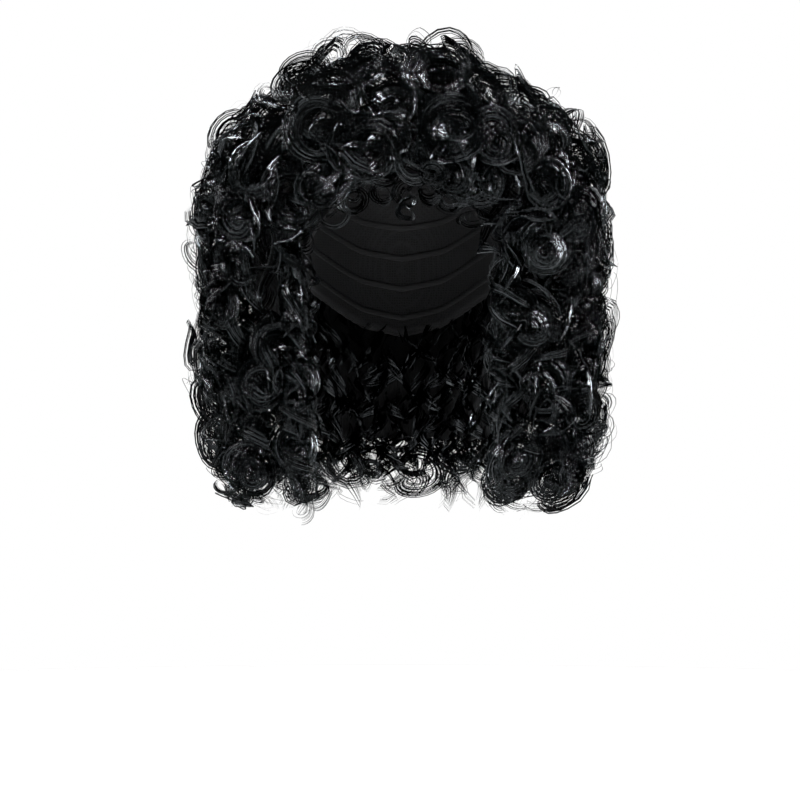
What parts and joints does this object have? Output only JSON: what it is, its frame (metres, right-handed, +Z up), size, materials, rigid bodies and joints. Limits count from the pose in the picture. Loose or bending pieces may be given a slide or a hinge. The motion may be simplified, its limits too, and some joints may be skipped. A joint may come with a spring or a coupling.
{
  "type": "curly wig",
  "caption": "Big shoulder-length wig of tight ringlets on a net cap with an elastic edge band, open at the face and neck",
  "frame": {"origin": "inside the top of the cap, where it sits on the crown of a head", "axes": "+Z up, the face looks along -Y, +X is the wearer's left"},
  "size_m": [0.3138, 0.2892, 0.3549],
  "materials": {
    "net": "matt black stretch net",
    "elastic": "matt black woven elastic",
    "hair": "glossy black synthetic fibre"
  },
  "bodies": {
    "root": {"cap": "net", "edge_band": "elastic", "crown_curls": "hair", "fringe_curls": "hair", "left_temple_curls": "hair", "back_curls": "hair", "right_temple_curls": "hair", "left_front_ringlets": "hair", "left_side_ringlets": "hair", "left_nape_ringlets": "hair", "nape_ringlets": "hair", "right_nape_ringlets": "hair", "right_side_ringlets": "hair", "right_front_ringlets": "hair"}
  },
  "joints": []
}
